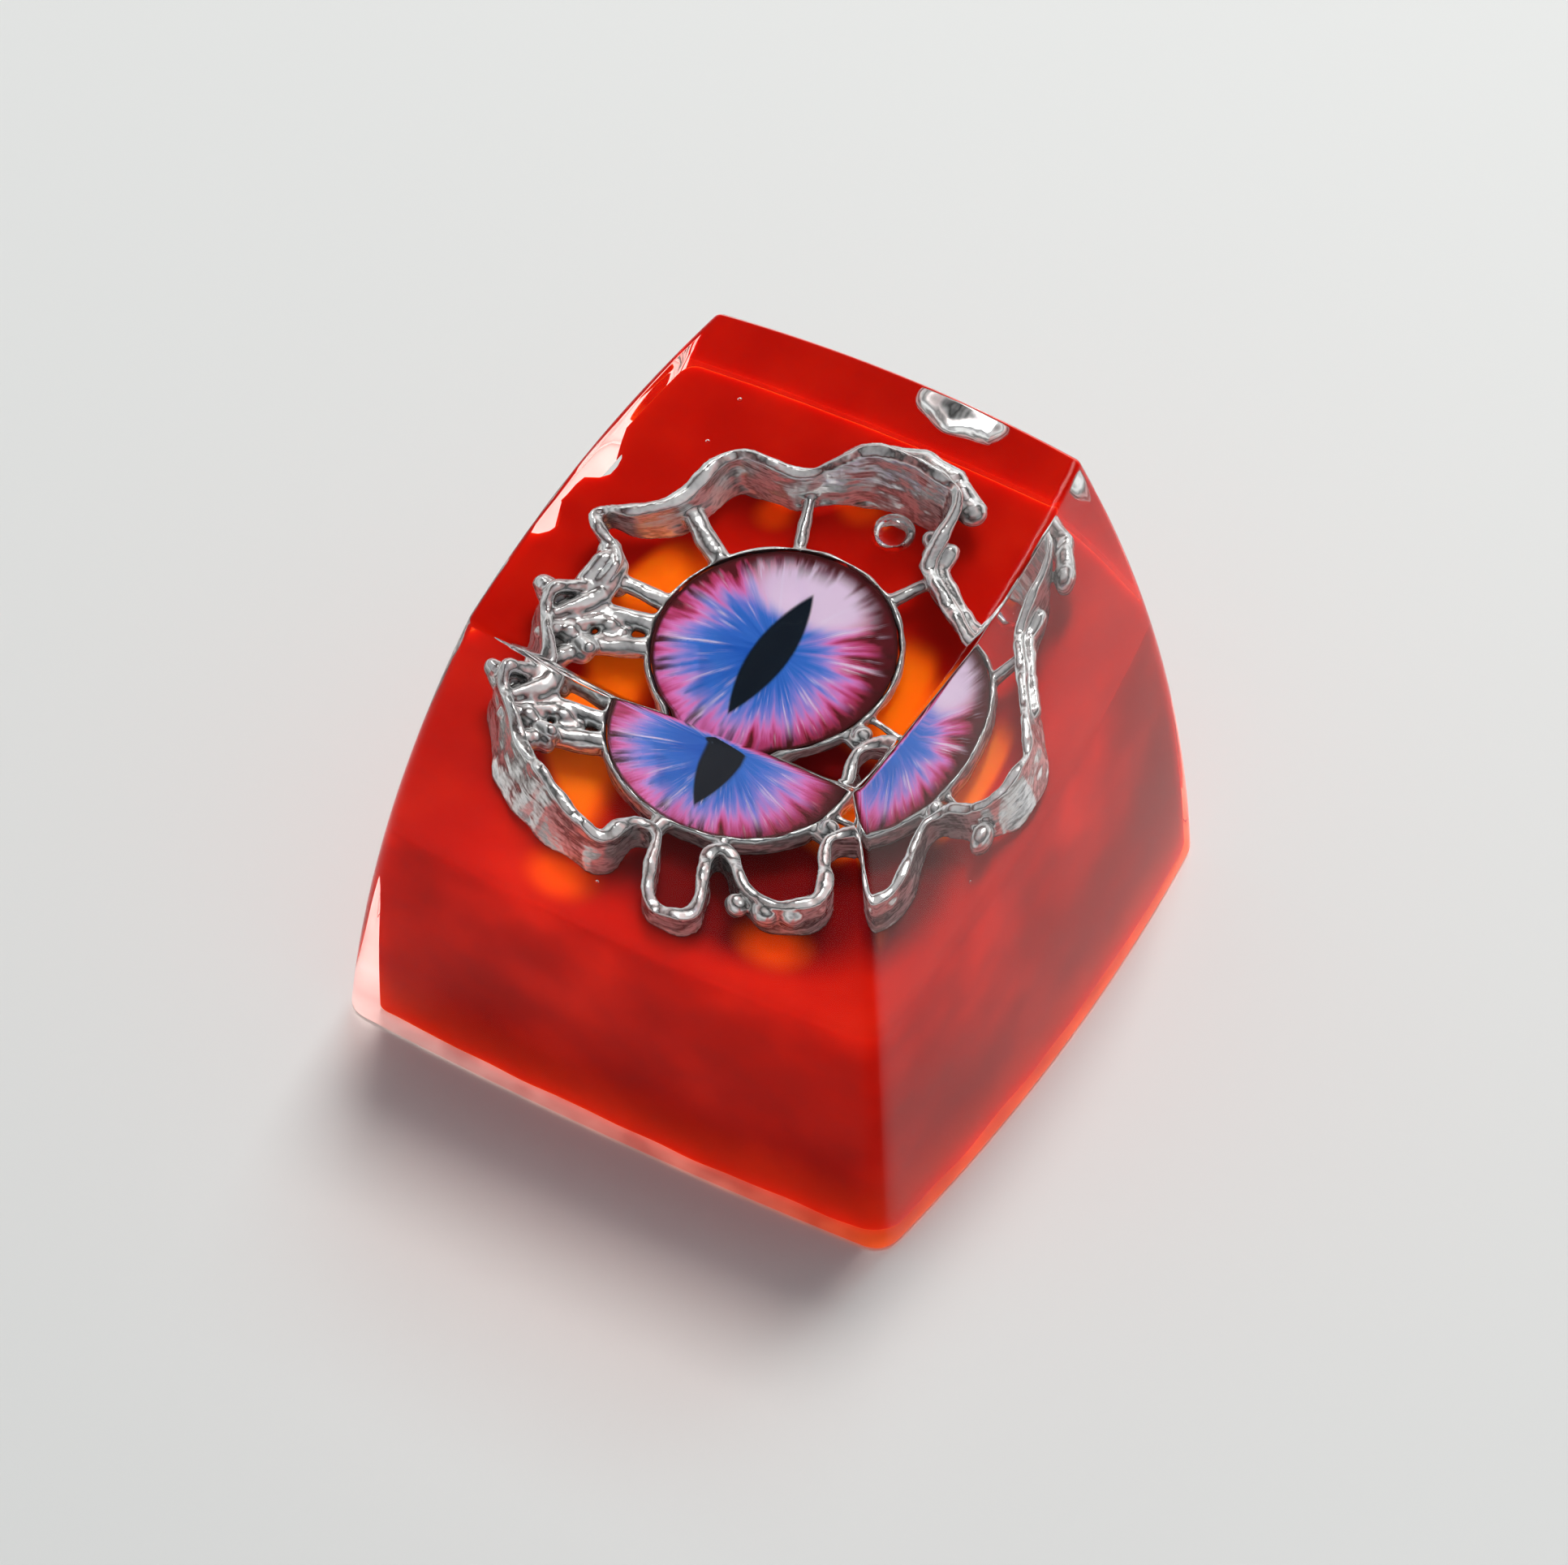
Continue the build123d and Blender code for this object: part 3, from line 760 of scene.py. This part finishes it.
def ribbonRows():
    section = ribbonSection()
    rows = []
    for place, out, (lean, low, high) in ribbonPath():
        low += ruffle["uneven"] * noise.noise(Vector((place.x, place.y, ruffle["lowNoise"])))
        high += ruffle["uneven"] * noise.noise(Vector((place.x, place.y, ruffle["highNoise"])))
        swell = 1 + ruffle["swell"] * noise.noise(Vector((place.x, place.y, ruffle["swellNoise"])))
        outward = Vector((out.x, out.y, 0)) * ruffle["thickness"] / 2 * swell
        radial = Vector((place.x, place.y, 0)).normalized()
        foot = Vector((place.x, place.y, low))
        rise = radial * lean + Vector((0, 0, high - low))
        rows.append([seatFrame @ (foot + rise * share + outward * across) for share, across in section])
    return rows


def bezelRows():
    inner, outer = ruffle["bezelInner"], ruffle["bezelOuter"]
    rows = []
    for k in range(ruffle["bezelSteps"]):
        loop = []
        for side in range(ruffle["bezelSides"]):
            phi = 2 * math.pi * side / ruffle["bezelSides"]
            reach = (inner + outer) / 2 + (outer - inner) / 2 * math.cos(phi)
            level = mix(eyeSeat["foot"], ruffle["bezelTop"], 0.5 + math.sin(phi) / 2)
            loop.append(seatFrame @ polarPlace(360 * k / ruffle["bezelSteps"], reach, level))
        rows.append(loop)
    return rows


def buildSetting(material):
    work = bmesh.new()
    addTube(work, ribbonRows())
    addTube(work, bezelRows())
    for angle, reach, level, radius in ruffle["struts"]:
        start = polarPlace(angle, ruffle["strutReach"], ruffle["strutLevel"])
        addRod(work, seatFrame @ start, seatFrame @ polarPlace(angle, reach, level), radius)
    for start, end, radius in ruffle["crumples"]:
        addRod(work, seatFrame @ polarPlace(*start), seatFrame @ polarPlace(*end), radius)
        addDrop(work, polarPlace(*start), radius)
        addDrop(work, polarPlace(*end), radius)
    for angle, reach, level, radius in ruffle["drops"]:
        addDrop(work, polarPlace(angle, reach, level), radius)
    mesh = bpy.data.meshes.new("ruffleSetting")
    work.to_mesh(mesh)
    work.free()
    piece = bpy.data.objects.new("ruffleSetting", mesh)
    bpy.context.scene.collection.objects.link(piece)
    # Melt all of it into one skin, as one casting is
    mesh.remesh_voxel_size = ruffle["voxel"] * mm
    mesh.use_remesh_preserve_attributes = False
    mesh.use_remesh_fix_poles = False
    bpy.context.view_layer.objects.active = piece
    bpy.ops.object.voxel_remesh()
    final = piece.data
    final.materials.clear()
    final.materials.append(material)
    # Tumbling wears the edges round, and the casting leaves a slight wave
    work = bmesh.new()
    work.from_mesh(final)
    for turn in range(ruffle["tumble"]):
        bmesh.ops.smooth_vert(work, verts=work.verts, factor=ruffle["tumbleShare"],
                              use_axis_x=True, use_axis_y=True, use_axis_z=True)
    work.to_mesh(final)
    work.free()
    waves = [v.normal * noise.noise(v.co / (ruffle["castScale"] * mm)) for v in final.vertices]
    for vertex, wave in zip(final.vertices, waves):
        vertex.co += wave * ruffle["castWave"] * mm
    for polygon in final.polygons:
        polygon.use_smooth = True
    return piece


setting = buildSetting(castSilver())
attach(setting, "root")
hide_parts("ruffle_setting")
print("setting faces:", len(setting.data.polygons))

# Glossy ink on paper, printed: blue round a slit pupil, lavender above it, and streaks out to a pink and
# brown fringe. Layers: colour, then where it shows, each a measure with a soft start and end
irisLook = {
    "rings": [
        (0.0, "#1f62cc"), (0.40, "#3f7fe0"), (0.54, "#7f8fe8"), (0.65, "#c39be6"), (0.76, "#ea86d2"),
        (0.87, "#cc4a84"), (0.95, "#a83450"), (1.0, "#5e1a22"),
    ],
    "layers": [
        ("#eedcf6", [("patch", 1.1, 0.6)]),
        ("#efe2fa", [("fine", 0.56, 0.68), ("reach", 0.3, 0.55), ("reach", 0.98, 0.8)]),
        ("#4d1b1d", [("broad", 0.5, 0.38), ("reach", 0.70, 0.95)]),
        ("#4d1b1d", [("reach", 0.955, 0.985)]),
        ("#0d1b28", [("pupil", 1.06, 0.9)]),
    ],
    "ringShift": (-0.4, -0.45, 0.0), "ragged": -0.5,
    "patchSize": (2.0, 1.1, 1.0), "patchShift": (0.0, 2.0, 0.0),
    "pupilHalf": (0.55, 2.25, 1.0), "pupilShift": (-0.03, -0.15, 0.0),
    "broadStreak": 0.4427, "fineStreak": 0.2213, "streakLength": 2.371, "roughness": 0.4, "gloss": 0.05,
}


def irisPrint():
    look = irisLook
    radius = eyeSeat["radius"]
    material, tree = newMaterial("glossy colour print")
    place = seatCoords(tree, (radius,) * 3)
    reach = addNode(tree, "ShaderNodeVectorMath", {"operation": "LENGTH"}, {0: (place, 0)})
    heading = addNode(tree, "ShaderNodeVectorMath", {"operation": "NORMALIZE"}, {0: (place, 0)})
    along = addNode(tree, "ShaderNodeCombineXYZ", links={"Z": (reach, "Value")})
    measures = {"reach": (reach, "Value", 1)}
    # Noise that is fine round the eye and long along its radius, from the streaks' width and length
    stretch = radius / look["streakLength"]
    for streaks, width in (("broad", look["broadStreak"]), ("fine", look["fineStreak"])):
        count = radius / width
        turned = addNode(tree, "ShaderNodeVectorMath", {"operation": "MULTIPLY", 1: (count, count, 0)},
                         {0: (heading, 0)})
        grown = addNode(tree, "ShaderNodeVectorMath", {"operation": "MULTIPLY_ADD", 1: (1, 1, stretch)},
                        {0: (along, 0), 2: (turned, 0)})
        rays = addNode(tree, "ShaderNodeTexNoise", {"Scale": 1.0, "Detail": 3.0, "Roughness": 0.6},
                       {"Vector": (grown, 0)})
        measures[streaks] = (rays, 0, 1)
    ragged = addNode(tree, "ShaderNodeMath", {"operation": "ADD", 1: look["ragged"]},
                     {0: measures["broad"][:2]})
    bloom = addNode(tree, "ShaderNodeVectorMath", {"operation": "LENGTH"},
                    {0: (seatCoords(tree, (radius,) * 3, look["ringShift"]), 0)})
    edge = addNode(tree, "ShaderNodeMath", {"operation": "ADD"}, {0: (bloom, "Value"), 1: (ragged, 0)})
    rings = addNode(tree, "ShaderNodeValToRGB", links={0: (edge, 0)})
    setRamp(rings, look["rings"])
    patch = addNode(tree, "ShaderNodeVectorMath", {"operation": "LENGTH"},
                    {0: (seatCoords(tree, look["patchSize"], look["patchShift"]), 0)})
    measures["patch"] = (patch, "Value", 1)
    # The pupil is a lens between two parabolas
    slit = addNode(tree, "ShaderNodeSeparateXYZ", links={
        0: (seatCoords(tree, look["pupilHalf"], look["pupilShift"]), 0)})
    across = addNode(tree, "ShaderNodeMath", {"operation": "ABSOLUTE"}, {0: (slit, "X")})
    pupil = addNode(tree, "ShaderNodeMath", {"operation": "MULTIPLY_ADD"},
                    {0: (slit, "Y"), 1: (slit, "Y"), 2: (across, 0)})
    measures["pupil"] = (pupil, 0, 1)
    ink = paintLayers(tree, (rings, 0), look["layers"], measures)
    shader = addNode(tree, "ShaderNodeBsdfPrincipled", {
        "Roughness": look["roughness"], "Specular IOR Level": look["gloss"]}, {"Base Color": ink})
    addNode(tree, "ShaderNodeOutputMaterial", links={"Surface": (shader, 0)})
    return material


# Clear glass, pressed to a dome: the resin round it is nearly as dense, so its index is given against the
# resin, and it hardly shows
domeLook = {"ior": 1.03, "roughness": 0.0}


def domeGlass():
    material, tree = newMaterial("pressed clear glass")
    shader = addNode(tree, "ShaderNodeBsdfPrincipled", {
        "Base Color": (1, 1, 1, 1), "Roughness": domeLook["roughness"], "IOR": domeLook["ior"],
        "Transmission Weight": 1.0})
    lampPass = addNode(tree, "ShaderNodeBsdfTransparent")
    path = addNode(tree, "ShaderNodeLightPath")
    both = addNode(tree, "ShaderNodeMixShader", links={
        0: (path, "Is Shadow Ray"), 1: (shader, 0), 2: (lampPass, 0)})
    addNode(tree, "ShaderNodeOutputMaterial", links={"Surface": (both, 0)})
    return material


# The print and its glass are the CAD shapes, with new materials
for node, material in (("eye_print", irisPrint()), ("eye_dome", domeGlass())):
    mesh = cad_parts[node].data
    mesh.materials.clear()
    mesh.materials.append(material)
    print(node, "is now", material.name)

# Plain floor and backdrop in one sheet of studio paper, uncoated: matt and pale, so the shadow shows softly
paperLook = {"colour": "#ebebe7", "roughness": 0.6, "size": 900.0, "gap": 0.02}


def studioPaper():
    material, tree = newMaterial("matt white studio paper")
    shader = addNode(tree, "ShaderNodeBsdfPrincipled", {
        "Base Color": linearHex(paperLook["colour"]), "Roughness": paperLook["roughness"]})
    addNode(tree, "ShaderNodeOutputMaterial", links={"Surface": (shader, 0)})
    return material


half = paperLook["size"] / 2
sheet = [(x * half, y * half, -paperLook["gap"]) for x, y in ((-1, -1), (1, -1), (1, 1), (-1, 1))]
floor = makeObject("floor", sheet, [(0, 1, 2, 3)], studioPaper())
print("floor laid")

# Window light from behind, with an even room round it
lamps = {
    "window": {"from": (-0.1, 0.57, 0.82), "away": 420.0, "size": 150.0, "power": 1.3},
    "room": [(0.0, "#e8ebee"), (0.25, "#d0d4d8"), (0.6, "#70747a"), (1.0, "#45484c")], "roomStrength": 1.15,
}
lampData = bpy.data.lights.new("window", "AREA")
lampData.shape = "SQUARE"
lampData.size = lamps["window"]["size"] * mm
lampData.energy = lamps["window"]["power"]
lamp = bpy.data.objects.new("window", lampData)
bpy.context.scene.collection.objects.link(lamp)
toward = Vector(lamps["window"]["from"]).normalized()
lamp.location = toward * lamps["window"]["away"] * mm
lamp.rotation_euler = toward.to_track_quat("Z", "Y").to_euler()

world = bpy.data.worlds.new("room")
bpy.context.scene.world = world
world.use_nodes = True
air = world.node_tree
air.nodes.clear()
gaze = addNode(air, "ShaderNodeTexCoord")
height = addNode(air, "ShaderNodeSeparateXYZ", links={0: (gaze, "Generated")})
room = addNode(air, "ShaderNodeValToRGB", links={0: (height, "Z")})
setRamp(room, lamps["room"])
background = addNode(air, "ShaderNodeBackground", {"Strength": lamps["roomStrength"]}, {"Color": (room, 0)})
addNode(air, "ShaderNodeOutputWorld", links={"Surface": (background, 0)})
print("window and room lit")

# Camera at the photograph's angle, in degrees and mm. It stands off from aimZ, aimed a little right and up
view = {
    "azimuth": 32.13, "elevation": 48.02, "roll": -1.44, "away": 204.66, "fov": 12.0, "aimZ": 4.8,
    "right": 0.343, "up": 0.72, "nearest": 10.0,
}
azimuth, elevation, roll = (math.radians(view[turn]) for turn in ("azimuth", "elevation", "roll"))
level = math.cos(elevation)
back = Vector((math.sin(azimuth) * level, -math.cos(azimuth) * level, math.sin(elevation)))
right = Vector((math.cos(azimuth), math.sin(azimuth), 0))
up = back.cross(right)
aim = Vector((0, 0, view["aimZ"]))
eye = aim + back * view["away"]
rolledRight = right * math.cos(roll) + up * math.sin(roll)
rolledUp = -right * math.sin(roll) + up * math.cos(roll)
backward = (eye - (aim + rolledRight * view["right"] + rolledUp * view["up"])).normalized()
cameraUp = (rolledUp - backward * rolledUp.dot(backward)).normalized()
cameraTurn = Matrix((cameraUp.cross(backward), cameraUp, backward)).transposed().to_4x4()
cameraData = bpy.data.cameras.new("camera")
cameraData.sensor_fit = "HORIZONTAL"
cameraData.angle = math.radians(view["fov"])
cameraData.clip_start = view["nearest"] * mm
camera = bpy.data.objects.new("camera", cameraData)
bpy.context.scene.collection.objects.link(camera)
camera.matrix_world = Matrix.Translation(eye * mm) @ cameraTurn
bpy.context.scene.camera = camera
bpy.context.scene.view_settings.view_transform = "Standard"
print("camera placed")
